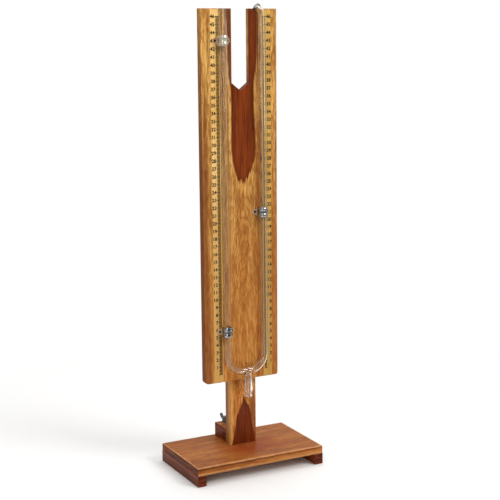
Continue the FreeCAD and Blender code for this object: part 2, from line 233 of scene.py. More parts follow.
def grain(look, axis, shift=(0, 0, 0)):
    """Patterns that run along an axis of the wood, each 0 to 1."""
    def stretched(along):
        scale = [1.0] * 3
        scale[axis] = along
        return look.mapped(scale, shift)
    broad = look.noise(stretched(0.09), 48, detail=3, roughness=0.6)
    warp = look.noise(stretched(0.16), 26, detail=2)
    streaks = look.noise(stretched(0.05), 260, detail=4, roughness=0.62)
    flecks = look.noise(stretched(0.16), 430, detail=3, roughness=0.55)
    flecks = look.step(look.sum("MULTIPLY_ADD", broad, 0.2, flecks), 0.67, 0.82)
    pores = look.step(look.noise(stretched(0.05), 1500, detail=2), 0.58, 0.70)
    rings = look.sum("SINE", look.times(look.sum("ADD", broad, warp), 38.0))
    rings = look.sum("MULTIPLY_ADD", rings, 0.5, 0.5)
    mottle = look.noise(stretched(0.2), 380, detail=4, roughness=0.62, distortion=0.3)
    return Grain(broad, streaks, flecks, pores, rings, mottle)


def tinted(look, parts, pale, mid, deep, fleck=0.5, blotch=1.0):
    """Three tones of one wood, mixed by its grain."""
    tone = look.step(look.sum("MULTIPLY_ADD", parts.streaks, 0.8, parts.broad), 0.72, 1.08)
    colour = look.mix(tone, mid, pale)
    colour = look.over(colour, deep, look.step(parts.rings, 0.45, 1.0), 0.3)
    colour = look.over(colour, deep, look.step(parts.streaks, 0.56, 0.40), 0.28)
    colour = look.over(colour, deep, parts.flecks, fleck)
    darker = look.mix(1.0, colour, srgb(212, 192, 172), "MULTIPLY")
    return look.over(colour, darker, look.step(parts.mottle, 0.56, 0.42), blotch)


def varnished(look, colour, parts, sheen=0.1):
    """Finish a wood colour with dark pores, a slight relief and a thin satin varnish."""
    dark = look.mix(1.0, colour, srgb(140, 96, 70), "MULTIPLY")
    colour = look.over(colour, dark, parts.pores, 0.6)
    gloss = look.sum("MULTIPLY_ADD", parts.streaks, 0.2, 0.26)
    look.set(Base_Color=colour, Roughness=gloss, IOR=1.5, Specular_IOR_Level=sheen)
    relief = look.sum("MULTIPLY_ADD", parts.streaks, 0.6, look.times(parts.pores, -1.0))
    look.bump(relief, 0.3, 0.0001)
    return look.material


def between(look, across, left, right, soft):
    """1 between two lines and 0 outside, with soft edges. All in millimetres."""
    inside = look.step(look.sum("SUBTRACT", across, left), -soft, soft)
    beyond = look.step(look.sum("SUBTRACT", across, right), -soft, soft)
    return look.times(inside, look.sum("SUBTRACT", 1.0, beyond))


def frayed(look, height, stretch, scale, depth):
    """The height, moved up and down by fine streaks, so that an outline drawn on it frays."""
    fray = look.noise(look.mapped((1, 1, stretch)), scale, detail=3)
    return look.sum("MULTIPLY_ADD", fray, depth, look.sum("SUBTRACT", height, depth / 2))


def board_wood():
    """Golden hardwood with a dark tongue of heartwood below the slot and beside it, and one knot."""
    look = Look("board_wood_varnished")
    parts = grain(look, 2)
    x, depth, z = look.millimetres()
    across = look.sum("SUBTRACT", x, BOARD_LEFT)
    height = look.sum("SUBTRACT", z, BOARD_BOTTOM)
    colour = tinted(look, parts, srgb(220, 171, 94), srgb(196, 142, 72), srgb(130, 74, 27))
    colour = board_figure(look, colour, across, height)
    colour = heartwood(look, colour, parts, across, depth, height)
    knot_across, knot_height, flatten = 83.2, 291.3, 0.5
    knot_place = ((BOARD_LEFT + knot_across) * MM, 0, (BOARD_BOTTOM + knot_height) * MM * flatten)
    knot = look.distance(look.mapped((1, 0, flatten)), knot_place)
    colour = look.over(colour, srgb(66, 32, 16), look.step(knot, 0.0021, 0.0011))
    ends = look.step(look.along_normal(2), 0.85, 0.95)
    colour = look.over(colour, srgb(112, 60, 28), ends, 0.5)
    # painted shade: the side faces of the board are painted darker, below about 400 mm up the board
    sides = look.step(look.along_normal(0), 0.5, 0.95)
    colour = look.over(colour, srgb(112, 50, 12), sides, look.step(height, 440.0, 380.0), 0.6)
    return varnished(look, colour, parts)


def board_figure(look, colour, across, height):
    """A flame of fine lines, redder wood low down, darker towards the left edge low down, and darker wood
    at the right scale.
    """
    flame_middle = 59.0
    arch = look.sum("SUBTRACT", across, flame_middle)
    arch = look.sum("MULTIPLY_ADD", look.times(arch, arch), 0.17, height)
    wobble = look.noise(look.mapped((1, 1, 0.3)), 75, detail=4, roughness=0.65)
    arch = look.sum("MULTIPLY_ADD", wobble, 62.0, arch)
    lines = look.step(look.sum("SINE", look.times(arch, 0.42)), 0.25, 0.95)
    where = look.times(look.step(height, 262.0, 225.0), look.step(height, 60.0, 150.0),
                       between(look, across, 34.0, 80.0, 6.0))
    colour = look.over(colour, srgb(120, 70, 28), lines, where, 0.5)
    colour = look.over(colour, srgb(172, 98, 36), look.step(height, 340.0, 50.0), 0.5)

    wander = look.times(look.noise(look.mapped((1, 1, 0.2)), 22, detail=2), 12.0)
    wandering = look.sum("ADD", across, wander)
    colour = look.over(colour, srgb(118, 62, 26), look.step(wandering, 20.0, 11.0),
                       look.step(height, 420.0, 260.0), 0.72)
    colour = look.over(colour, srgb(140, 70, 28), between(look, wandering, 82.0, 89.0, 4.0), 0.5)
    return look.over(colour, srgb(140, 78, 32), look.step(across, 88.0, 100.0),
                     look.step(height, 380.0, 120.0), 0.45)


def heartwood(look, colour, parts, across, depth, height):
    """The dark tongue, with an outline drawn as two lines up the board and frayed by the grain."""
    drawn_height, drawn_width, rim = 500.0, 100.0, 3.0
    share = look.sum("DIVIDE", frayed(look, height, 0.02, 420, 22.0), drawn_height)
    left_line = ((0.0, 0.62), (0.517, 0.60), (0.527, 0.53), (0.545, 0.475), (0.577, 0.432), (0.612, 0.41),
                 (0.68, 0.413), (0.765, 0.41), (0.80, 0.385), (0.86, 0.372), (1.0, 0.35))
    right_line = ((0.0, 0.60), (0.517, 0.60), (0.536, 0.647), (0.556, 0.70), (0.58, 0.748), (0.62, 0.762),
                  (0.67, 0.752), (0.70, 0.742), (0.765, 0.74), (0.80, 0.755), (0.835, 0.778), (1.0, 0.775))
    left = look.times(look.curve(share, left_line), drawn_width)
    right = look.times(look.curve(share, right_line), drawn_width)
    shallow = look.step(depth, -2.0, -4.6)
    slot_floor = look.times(look.step(look.along_normal(2), 0.4, 0.6), look.step(height, 396.0, 392.0))
    above = look.times(look.step(height, 384.0, 396.0), look.step(across, 56.0, 50.0))
    heart = look.times(between(look, across, left, right, 1.3), look.sum("MAXIMUM", shallow, slot_floor),
                       look.sum("MULTIPLY_ADD", above, -0.12, 1.0))
    core = look.mix(look.step(parts.streaks, 0.36, 0.66), srgb(98, 38, 7), srgb(130, 56, 13))
    inner = between(look, across, look.sum("ADD", left, rim), look.sum("SUBTRACT", right, rim), 3.5)
    core = look.over(core, srgb(76, 28, 7), look.sum("SUBTRACT", 1.0, inner), 0.6)
    return look.over(colour, core, heart)


def post_wood():
    """The same hardwood, with a dark flame that rises from the foot of the post, and a painted highlight
    along its left edge.
    """
    look = Look("post_wood_varnished")
    parts = grain(look, 2, shift=(0.31, 0.12, 0.4))
    across, depth, height = look.millimetres()
    colour = tinted(look, parts, srgb(218, 156, 80), srgb(192, 122, 54), srgb(120, 58, 20), fleck=0.6)
    colour = look.over(colour, srgb(132, 66, 30), look.step(across, 10.0, 16.0),
                       look.step(height, 110.0, 80.0), 0.75)
    # painted highlight: the post's left edge and left face below the board are painted lighter
    colour = look.over(colour, srgb(236, 178, 98), look.step(across, -9.0, -14.0),
                       look.step(height, 118.0, 112.0), 0.45)
    drawn = 100.0
    share = look.sum("DIVIDE", frayed(look, height, 0.03, 380, 16.0), drawn, clamp=True)
    left_line = ((0.0, 0.28), (0.278, 0.374), (0.521, 0.421), (0.695, 0.468), (0.84, 0.525), (1.0, 0.58))
    right_line = ((0.0, 0.74), (0.247, 0.722), (0.48, 0.678), (0.724, 0.632), (0.86, 0.565), (1.0, 0.50))
    left = look.sum("MULTIPLY_ADD", look.curve(share, left_line), drawn, -drawn / 2)
    right = look.sum("MULTIPLY_ADD", look.curve(share, right_line), drawn, -drawn / 2)
    core = look.mix(look.step(parts.streaks, 0.36, 0.66), srgb(86, 32, 8), srgb(124, 52, 17))
    core = look.over(core, srgb(80, 34, 16), look.step(height, 60.0, 85.0), 0.4)
    colour = look.over(colour, core, between(look, across, left, right, 1.0), look.step(depth, 12.0, 9.0))
    behind = look.step(look.sum("MULTIPLY_ADD", parts.broad, 9.0, depth), 11.0, 17.0)
    colour = look.over(colour, srgb(112, 56, 26), behind, 0.7)
    return varnished(look, colour, parts)


def stand_wood(name, pale, mid, deep, ends, shift, stain=0.0):
    """Redder varnished wood for the base and block, darker and layered on its end grain."""
    look = Look(name)
    parts = grain(look, 0, shift)
    colour = tinted(look, parts, pale, mid, deep, fleck=0.25, blotch=0.45)
    if stain:
        colour = base_marks(look, colour, stain)
    layers = look.noise(look.mapped((1, 0.6, 9)), 42, detail=4, roughness=0.65)
    end_tone = look.mix(look.step(layers, 0.4, 0.56), ends, srgb(56, 19, 7))
    colour = look.over(colour, end_tone, look.step(look.along_normal(0), 0.6, 0.95), 0.95)
    return varnished(look, colour, parts, sheen=0.06)


def base_marks(look, colour, stain):
    """A reddish stain on the base, a wavy dark line along its front, and paler edges, worn and with a
    painted highlight. Metres.
    """
    x, y, z = look.xyz()
    patch = look.noise(look.mapped((1, 2.0, 1)), 30, detail=4, roughness=0.6)
    from_stain = look.distance(look.mapped((1, 1.9, 0), shift=(-0.012, 0.03, 0)))
    reach = look.sum("MULTIPLY_ADD", patch, 0.12, from_stain)
    colour = look.over(colour, srgb(146, 60, 28), look.step(reach, 0.128, 0.078),
                       look.step(z, 0.0205, 0.0235), stain)

    wavy = look.sum("MULTIPLY_ADD", look.noise(look.place, 45, detail=3), 0.0022, z)
    line = look.times(look.step(wavy, 0.0214, 0.0240), look.step(wavy, 0.0262, 0.0252))
    line = look.sum("MULTIPLY", line, look.sum("ADD", look.step(x, 0.06, -0.08), 0.45), clamp=True)
    front = look.step(look.along_normal(1), 0.55, 0.9)
    colour = look.over(colour, srgb(70, 28, 14), line, front, 0.7)

    # paler edges on the top and at the front's top: wear, with a painted highlight along the rounded
    # arrises
    worn = look.noise(look.place, 90, detail=3)
    ends_near = look.step(look.sum("MULTIPLY_ADD", worn, 0.004, look.sum("ABSOLUTE", x)), 0.0915, 0.0930)
    front_near = look.step(look.sum("MULTIPLY_ADD", worn, -0.007, y), -0.0555, -0.0590)
    worn_and_highlit = look.times(look.sum("MAXIMUM", ends_near, front_near), look.along_normal(2))
    top_edge = look.step(look.sum("MULTIPLY_ADD", worn, 0.0016, z), 0.0244, 0.0252)
    worn_and_highlit = look.sum("MAXIMUM", worn_and_highlit, look.times(top_edge, front))
    colour = look.over(colour, srgb(222, 160, 110), worn_and_highlit, 0.6)
    return look.over(colour, srgb(206, 148, 92), look.step(wavy, 0.0200, 0.0175), front, 0.5)


def foot_wood(name, shift):
    """The feet: dark red-brown on their long sides too, with lines of grain along them."""
    look = Look(name)
    parts = grain(look, 1, shift)
    colour = tinted(look, parts, srgb(138, 64, 26), srgb(106, 43, 15), srgb(54, 19, 7))
    layers = look.noise(look.mapped((1, 0.1, 7)), 50, detail=4, roughness=0.65)
    colour = look.over(colour, srgb(152, 76, 34), look.step(layers, 0.42, 0.62), 0.6)
    front = look.mix(look.step(layers, 0.4, 0.65), srgb(104, 44, 18), srgb(56, 18, 6))
    colour = look.over(colour, front, look.step(look.along_normal(1), 0.6, 0.95))
    return varnished(look, colour, parts)


def scale_paper(name, inner_edge, side, start, length, paper, worn):
    """A varnished strip with millimetre lines that start at its edge beside the tube."""
    look = Look(name)
    x, _, z = look.millimetres()
    inset = look.times(look.sum("SUBTRACT", inner_edge, x), side)
    height = look.sum("SUBTRACT", z, SCALE_ZERO)
    marks, soft, soft_end = 0.0, 0.05, 0.06
    for pitch, half_width, reach in ((1.0, 0.3, 3.8), (5.0, 0.38, 4.4), (10.0, 0.42, 4.9)):
        turns = look.sum("FRACT", look.sum("ADD", look.sum("DIVIDE", height, pitch), 0.5))
        offset = look.times(look.sum("ABSOLUTE", look.sum("SUBTRACT", turns, 0.5)), pitch)
        end = start + reach * length
        line = look.times(look.step(offset, half_width + soft, half_width - soft),
                          look.step(inset, end + soft_end, end - soft_end),
                          look.step(inset, start - soft_end, start + soft_end))
        marks = look.sum("MAXIMUM", marks, line)
    top = LAST_NUMBER * CENTIMETRE + 0.5
    span = look.times(look.step(height, -0.6, -0.4), look.step(height, top + 0.1, top - 0.1))
    wear = look.noise(look.mapped((1, 1, 0.5)), 240, detail=4, roughness=0.65)
    mottle = look.noise(look.mapped((1, 1, 0.15)), 90, detail=4, roughness=0.6)
    fibre = look.noise(look.mapped((1, 1, 0.3)), 1900, detail=2)
    colour = look.mix(look.step(mottle, 0.36, 0.62), paper, worn)
    colour = look.over(colour, srgb(166, 118, 54), look.step(height, 430.0, 30.0), 0.62)
    colour = look.over(colour, srgb(128, 88, 42), look.step(fibre, 0.56, 0.75), 0.2)
    column = look.times(look.step(inset, start - 0.3, start + 0.3),
                        look.step(inset, start + 4.4 * length, start + 3.6 * length))
    colour = look.over(colour, srgb(136, 62, 12), column, span, 0.36)
    colour = look.over(colour, srgb(12, 5, 1), marks, span, look.step(wear, 0.18, 0.34), 0.97)
    rough = look.sum("MULTIPLY_ADD", mottle, 0.2, 0.3)
    look.set(Base_Color=colour, Roughness=rough, Specular_IOR_Level=0.15)
    look.bump(fibre, 0.12, 0.00004)
    return look.material


def printed_ink():
    """Dark ink, worn paler in small spots."""
    look = Look("scale_ink")
    wear = look.noise(look.place, 700, detail=4, roughness=0.7)
    colour = look.mix(look.step(wear, 0.55, 0.8), srgb(26, 18, 10), srgb(86, 62, 32))
    rough = look.sum("MULTIPLY_ADD", wear, 0.2, 0.4)
    look.set(Base_Color=colour, Roughness=rough, Specular_IOR_Level=0.3)
    return look.material


def blown_glass():
    """Clear glass with slight waves, which lets most light through to its shadow."""
    look = Look("tube_glass_clear")
    drift = look.noise(look.mapped((1, 1, 0.25)), 60, detail=2)
    colour = look.mix(drift, (0.97, 0.985, 0.975, 1), (0.995, 1.0, 0.995, 1))
    look.set(Base_Color=colour, Roughness=look.times(drift, 0.03), IOR=1.47,
             Transmission_Weight=1.0, Specular_IOR_Level=0.22)
    look.bump(drift, 0.06, 0.0004)
    clear = look.add("ShaderNodeBsdfTransparent")
    clear.inputs[0].default_value = (0.96, 0.97, 0.965, 1)
    in_shadow = look.times(look.rays()["Is Shadow Ray"], 0.92)
    look.surface(in_shadow, look.shader.outputs[0], clear.outputs[0])
    return look.material


def metal(name, tone, roughness, grime, scratch_axis=0, tarnish=None):
    """Plated or plain steel with fine scratches and a little darkening in patches."""
    look = Look(name)
    stretch = [1.0] * 3
    stretch[scratch_axis] = 0.05
    scratches = look.noise(look.mapped(stretch), 2600, detail=3, roughness=0.6)
    patches = look.noise(look.place, 260, detail=4, roughness=0.6)
    dirt = look.times(look.step(patches, 0.48, 0.78), grime)
    colour = look.mix(dirt, tone, srgb(96, 88, 78))
    shine = 1.0
    if tarnish:
        colour, dirt, shine = clip_wear(look, colour, dirt, patches, tarnish)
    rough = look.sum("MULTIPLY_ADD", scratches, 0.14, roughness - 0.07)
    rough = look.sum("ADD", rough, look.times(dirt, 0.25))
    look.set(Base_Color=colour, Metallic=shine, Roughness=rough)
    look.bump(scratches, 0.15, 0.00002)
    return look.material


def clip_wear(look, colour, dirt, patches, tarnish):
    """Tarnish on the clips near the board, a painted highlight that makes the upper clip paler, and a
    painted dark reflection in spots on the lower one's bands.
    """
    _, y, z = look.millimetres()
    near = look.step(look.sum("ADD", patches, y), -8.6, -6.9)
    clear = look.sum("SUBTRACT", 1.0, near)
    colour = look.over(colour, tarnish, near, 0.8)
    # painted highlight: the upper clip is painted a pale cream and made less metallic
    pale = look.times(look.step(z, 480.0, 520.0), clear)
    colour = look.over(colour, srgb(238, 222, 196), pale, 0.7)
    shine = look.sum("MULTIPLY_ADD", near, -0.6, look.sum("MULTIPLY_ADD", pale, -0.3, 1.0))
    # painted reflection: dark spots on the lower clip's bands, on the flank to the right of the highlight
    sideways = look.signed_normal(0)
    painted_reflection_flank = look.times(look.step(sideways, -0.5, -0.36), look.step(sideways, 0.24, 0.06))
    off_middle = look.sum("ABSOLUTE", look.sum("SUBTRACT", z, TUBE_ORIGIN.z + LOWER_CLIP))
    bands = look.times(look.step(off_middle, 0.9, 1.9), look.step(off_middle, 5.9, 5.0))
    spots = look.sum("MULTIPLY_ADD", bands, 0.65, look.times(look.step(off_middle, 8.0, 7.0), 0.35))
    colour = look.over(colour, srgb(38, 38, 40), painted_reflection_flank, spots, clear, 0.85)
    return colour, look.sum("MAXIMUM", dirt, near), shine


CLIP_METAL = metal("clip_chrome", srgb(168, 169, 172), roughness=0.08, grime=0.3, scratch_axis=2,
                   tarnish=srgb(202, 160, 106))
SCREW_STEEL = metal("screw_steel", srgb(70, 64, 58), roughness=0.36, grime=0.6)
BOLT_STEEL = metal("bolt_zinc", srgb(150, 150, 148), roughness=0.32, grime=0.5)
NUT_METAL = metal("nut_plated", srgb(96, 101, 102), roughness=0.3, grime=0.5)


# Mesh helpers. Forms are bmeshes in millimetres, brought to metres when they become pieces.

def mesh_of(name, form):
    """The mesh of a form, its faces turned outward. The form is used up."""
    bmesh.ops.recalc_face_normals(form, faces=form.faces)
    mesh = bpy.data.meshes.new(name)
    form.to_mesh(mesh)
    form.free()
    return mesh


def form_of(mesh):
    """The form of a mesh, which is used up."""
    form = bmesh.new()
    form.from_mesh(mesh)
    bpy.data.meshes.remove(mesh)
    return form


def placed(name, data):
    """A new object in the scene."""
    thing = bpy.data.objects.new(name, data)
    bpy.context.scene.collection.objects.link(thing)
    return thing


def applied(thing):
    """The mesh of an object after its modifiers. The object is used up."""
    bpy.context.view_layer.update()
    mesh = bpy.data.meshes.new_from_object(thing.evaluated_get(bpy.context.evaluated_depsgraph_get()))
    bpy.data.objects.remove(thing)
    return mesh


def moved(form, matrix):
    bmesh.ops.transform(form, matrix=matrix, verts=form.verts)
    return form


def made(name, form, material, slot, **settings):
    """Turn a form into a piece of the object."""
    bmesh.ops.scale(form, vec=(MM, MM, MM), verts=form.verts)
    return piece(name, mesh_of(name, form), material, slot, **settings)


def piece(name, mesh, material, slot, body="stand", replaces=(), sharp=40):
    """Add a mesh in metres as a piece, smooth except at edges above an angle, or flat without one."""
    mesh.materials.append(material)
    thing = placed(name, mesh)
    if sharp:
        mesh.shade_smooth()
        mesh.set_sharp_from_angle(angle=math.radians(sharp))
    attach(thing, body)
    if replaces:
        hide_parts(*replaces)
    return thing


def circle(radius, count):
    """Points around a circle, as (cosine, sine) times the radius."""
    angles = [2 * math.pi * index / count for index in range(count)]
    return [(radius * math.cos(angle), radius * math.sin(angle)) for angle in angles]


def skin(form, rings, closed=True):
    """Join equal rings of vertices into quads, and cap the two ends unless they meet."""
    count = len(rings[0])
    for low, high in zip(rings, rings[1:]):
        for index in range(count):
            after = (index + 1) % count
            form.faces.new((low[index], low[after], high[after], high[index]))
    if closed:
        form.faces.new(list(reversed(rings[0])))
        form.faces.new(rings[-1])


def turned(profile, count=48, close_loop=False):
    """A solid turned about Z from (radius, height) points. Radii above 0."""
    form = bmesh.new()
    rings = [[form.verts.new((x, y, height)) for x, y in circle(radius, count)]
             for radius, height in profile]
    if close_loop:
        rings.append(rings[0])
    skin(form, rings, closed=not close_loop)
    return form


def swept(path, radii, count):
    """A round bar along points (x, z) in the plane y = 0, with a radius at each."""
    form = bmesh.new()
    rings = []
    for index, (point, radius) in enumerate(zip(path, radii)):
        before, after = path[max(index - 1, 0)], path[min(index + 1, len(path) - 1)]
        way = (Vector(after) - Vector(before)).normalized()
        out = Vector((way.y, -way.x))
        rings.append([form.verts.new((point[0] + out.x * side, y, point[1] + out.y * side))
                      for side, y in circle(radius, count)])
    skin(form, rings)
    return form


def combined(first, second, operation):
    """One form from two solid ones, added or cut. The two are used up."""
    base, tool = (placed("tool", mesh_of("tool", form)) for form in (first, second))
    change = base.modifiers.new("join", "BOOLEAN")
    change.object = tool
    change.operation = operation
    change.solver = "EXACT"
    form = form_of(applied(base))
    bpy.data.objects.remove(tool)
    return form


def remeshed(form, voxel, rounds):
    """A cast look: one even skin over a form, smoothed."""
    thing = placed("tool", mesh_of("tool", form))
    remesh = thing.modifiers.new("even", "REMESH")
    remesh.mode = "VOXEL"
    remesh.voxel_size = voxel
    soften = thing.modifiers.new("soft", "SMOOTH")
    soften.factor = 0.5
    soften.iterations = rounds
    return form_of(applied(thing))


def arc(middle, radius, start, end, steps):
    """Points on an arc in the (x, z) plane, angles in degrees from +x towards +z."""
    angles = [math.radians(start + (end - start) * index / steps) for index in range(steps + 1)]
    return [(middle[0] + radius * math.cos(a), middle[1] + radius * math.sin(a)) for a in angles]


def in_tube(height=0.0, across=0.0):
    """The tube's own frame, which leans to the left, moved up and across within it."""
    return (Matrix.Translation(TUBE_ORIGIN) @ Matrix.Rotation(-LEAN, 4, "Y")
            @ Matrix.Translation((across, 0, height)))


# Glass

def limb_path(overrun):
    """The centreline from the left limb's top round the bend to the bent mouth on the right.

    The overrun is a straight length beyond each mouth.
    """
    side, bend, bend_steps = HALF_SPACING, BEND_RADIUS, 26
    path = [(-side, LEFT_LIMB + overrun), (-side, LEFT_LIMB)]
    path += [(-side, LEFT_LIMB - drop) for drop in (*POLISH, 20)]
    path += [(-side, height) for height in (400, 300, 200, 100, 45)]
    path += arc((-side + bend, bend), bend, 180, 270, bend_steps)
    path += [(across, 0.0) for across in (-4.4, -3, -1.6, -0.2, 1.2, 2.6, 4.0, 5.2)]
    path += arc((side - bend, bend), bend, 270, 360, bend_steps)
    path += [(side, height) for height in (45, 100, 200, 300, 400, 440)]
    path += arc((side - MOUTH_BEND, RIGHT_LIMB), MOUTH_BEND, 0, 45, 12)
    way = Vector((-1, 1)).normalized()
    last = Vector(path[-1])
    near_end = [MOUTH_LENGTH - back for back in reversed(POLISH)]
    for reach in (POLISH[-1], *near_end, MOUTH_LENGTH, MOUTH_LENGTH + overrun):
        path.append(tuple(last + way * reach))
    return path


def wall_radii(radius, sign, count):
    """Radii along the path, rounded towards the wall's middle at the two fire-polished ends."""
    half = (TUBE_RADIUS - BORE_RADIUS) / 2
    start = [radius - sign * half * part for part in (1.0, 1.0, 0.55, 0.12, 0.0)]
    return start + [radius] * (count - 2 * len(start)) + list(reversed(start))


def glass_tube():
    """The blown tube: limbs, bend, bent mouth and the outlet with its swelling and rim."""
    outer_count, bore_count = 64, 48
    # without an overrun the two end points are double, so the first and last are left out
    path = limb_path(overrun=0.0)
    shell = swept(path[1:-1], wall_radii(TUBE_RADIUS, 1, len(path))[1:-1], outer_count)
    bore_path = limb_path(overrun=3.0)
    bore = swept(bore_path, wall_radii(BORE_RADIUS, -1, len(bore_path)), bore_count)

    spout = [(3.2, -0.6), (4.2, -2.0), (4.8, -3.2), (5.25, -4.4), (5.55, -5.6), (5.7, -6.9), (5.78, -8.2),
             (5.8, -9.6), (5.78, -12.0), (5.72, -15.0), (5.8, -17.6), (6.1, -19.6), (6.4, -21.6),
             (6.5, -23.8), (6.36, -26.0), (5.9, -27.8), (5.2, -29.2), (4.8, -30.2), (4.72, -31.0),
             (4.9, -31.7), (5.3, -32.3), (5.56, -33.0), (5.6, -33.8), (5.52, -34.7), (5.24, -35.4),
             (4.8, -35.9), (4.3, -36.2)]
    hollow = [(3.5, 0.0), (3.5, -1.5), (3.55, -4.0), (3.9, -7.0), (4.2, -10.0), (4.3, -15.0), (4.5, -19.0),
              (4.7, -23.0), (4.4, -26.5), (3.8, -29.0), (3.5, -31.0), (3.55, -33.5), (3.7, -35.2),
              (4.1, -36.0), (4.35, -36.3), (4.4, -38.0)]
    shift = Matrix.Translation((OUTLET_OFFSET, 0, 0))
    shell = combined(shell, moved(turned(spout[::-1], outer_count), shift), "UNION")
    bore = combined(bore, moved(turned(hollow[::-1], bore_count), shift), "UNION")
    for form in (shell, bore):
        soften_joint(form)
    form = moved(combined(shell, bore, "DIFFERENCE"), in_tube())
    made("glass_tube", form, blown_glass(), "tube_glass", replaces=("u_tube",), sharp=75)


def soften_joint(form):
    """Let the outlet flow into the bend, as blown glass does."""
    crease, reach, rounds = math.radians(22), 2.2, 8

    def at_joint(vertex, size):
        return abs(vertex.co.x - OUTLET_OFFSET) < size and -size - 1 < vertex.co.z < 0
    creased = {vertex for edge in form.edges
               if len(edge.link_faces) == 2 and edge.calc_face_angle(0) > crease
               for vertex in edge.verts if at_joint(vertex, 8)}
    near = [vertex for vertex in form.verts
            if at_joint(vertex, 9) and any((vertex.co - other.co).length < reach for other in creased)]
    for _ in range(rounds):
        bmesh.ops.smooth_vert(form, verts=near, factor=0.4,
                              use_axis_x=True, use_axis_y=True, use_axis_z=True)


# Clips and screws

def clip_line(seat):
    """Half of the strap's middle line, from the ear's end to the front: (x, y, half height)."""
    ear_radius, ear_middle, strap = 3.5, 8.8, 6.5
    radius = TUBE_RADIUS + 0.45
    line = []
    for step in range(1, 10):
        angle = math.radians(10 * step)
        line.append((ear_middle + ear_radius * math.cos(angle), seat, ear_radius * math.sin(angle)))
    line += [(8.0, seat, 3.52), (7.4, seat, 3.7), (6.85, seat, 4.15), (6.4, seat - 0.04, 4.75),
             (6.0, seat - 0.18, 5.35), (5.7, seat - 0.45, 5.85), (5.52, seat - 0.85, 6.2),
             (radius, seat - 1.4, 6.42), (radius, seat - 2.2, strap), (radius, 2.0, strap),
             (radius, 1.0, strap)]
    line += [(x, -y, strap) for x, y in arc((0, 0), radius, 0, 90, 14)]
    return line


def pressed_clip(name, height, across):
    """A pressed saddle with two raised bands that narrows to its round ears."""
    seat = TUBE_RADIUS + 0.7
    band_height, band_width, band_lift, band_end = 3.75, 2.3, 0.75, 0.9
    half_line = clip_line(seat)
    line = [(-x, y, half) for x, y, half in half_line] + half_line[-2::-1]
    form = bmesh.new()
    rows = 30
    grid = []
    for index, (x, y, half) in enumerate(line):
        before, after = line[max(index - 1, 0)], line[min(index + 1, len(line) - 1)]
        way = (Vector(after[:2]) - Vector(before[:2])).normalized()
        on_arch = min(1.0, max(0.0, (seat - band_end - y) / 1.6))
        row = []
        for step in range(rows + 1):
            z = (-1 + 2 * step / rows) * half
            off_band = min(1.0, abs(abs(z) - band_height) / band_width)
            lift = band_lift * math.cos(off_band * math.pi / 2) ** 1.3 * on_arch
            row.append(form.verts.new((x + way.y * lift, y - way.x * lift, z)))
        grid.append(row)
    for low, high in zip(grid, grid[1:]):
        for step in range(rows):
            form.faces.new((low[step], low[step + 1], high[step + 1], high[step]))
    moved(form, in_tube(height, across))
    cad_name = name.replace("pressed_", "tube_")
    clip = made(name, form, CLIP_METAL, "clip_metal", replaces=(cad_name,), sharp=180)
    sheet = clip.modifiers.new("sheet", "SOLIDIFY")
    sheet.thickness = 0.58 * MM
    sheet.offset = 0.0
    edge = clip.modifiers.new("edge", "BEVEL")
    edge.width = 0.12 * MM
    edge.segments = 2
    edge.limit_method = "ANGLE"
    edge.angle_limit = math.radians(50)


def slotted(form, width, depth, top, length):
    """Cut a screwdriver slot across the top of a head."""
    cutter = bmesh.new()
    bmesh.ops.create_cube(cutter, size=1.0)
    bmesh.ops.scale(cutter, vec=(length, width, depth * 2), verts=cutter.verts)
    bmesh.ops.translate(cutter, vec=(0, 0, top), verts=cutter.verts)
    return combined(form, cutter, "DIFFERENCE")


def clip_screw_form():
    """Round-headed screw, head up: underside of the head at z = 0."""
    top = 1.06
    dome = [(0.9, -8.0), (0.9, -0.02), (1.5, 0.0), (1.56, 0.12), (1.54, 0.4), (1.4, 0.68), (1.12, 0.9),
            (0.7, 1.02), (0.25, top)]
    return slotted(turned(dome, count=32), width=0.42, depth=0.5, top=top, length=4.0)


def flat_screw_form(radius, length, head, rise):
    """Countersunk slotted screw, head at z = 0 and point up, with ridges for its thread."""
    profile = [(head - 0.25, 0.0), (head - 0.06, 0.06), (head, 0.18), (radius * 1.05, rise)]
    pitch, root = 1.25, radius * 0.8
    height = rise + 0.6
    while height < length - radius * 1.8:
        profile += [(root, height), (radius, height + pitch / 2), (root, height + pitch)]
        height += pitch
    profile += [(radius * 0.75, length - radius * 1.6), (0.25, length - 0.1)]
    return slotted(turned(profile, count=40), width=0.85, depth=0.9, top=0.0, length=head * 2.4)


def lay_screws(form, prefix, axis, end, shift=0.0):
    """One screw form in place of each CAD screw of a kind, each turned by another amount on its axis.

    The form's z = 0 lies at the low (0) or high (1) end of the CAD screw along an axis, moved by shift.
    """
    first_turn, next_turn = 0.9, 1.7
    bmesh.ops.scale(form, vec=(MM, MM, MM), verts=form.verts)
    bmesh.ops.recalc_face_normals(form, faces=form.faces)
    tilt = Matrix.Identity(4) if axis == 2 else Matrix.Rotation(math.radians(90), 4, "X")
    names = sorted(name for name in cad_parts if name.startswith(prefix))
    for index, name in enumerate(names):
        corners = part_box(name)
        spot = (corners[0] + corners[1]) / 2
        spot[axis] = corners[end][axis] + shift * MM
        mesh = bpy.data.meshes.new(f"{name}_detail")
        form.to_mesh(mesh)
        spin = Matrix.Rotation(first_turn + next_turn * index, 4, "Z")
        mesh.transform(Matrix.Translation(spot) @ tilt @ spin)
        piece(f"{name}_detail", mesh, SCREW_STEEL, "screw_steel", replaces=(name,))
    form.free()


# Wing nut, bolt and washers

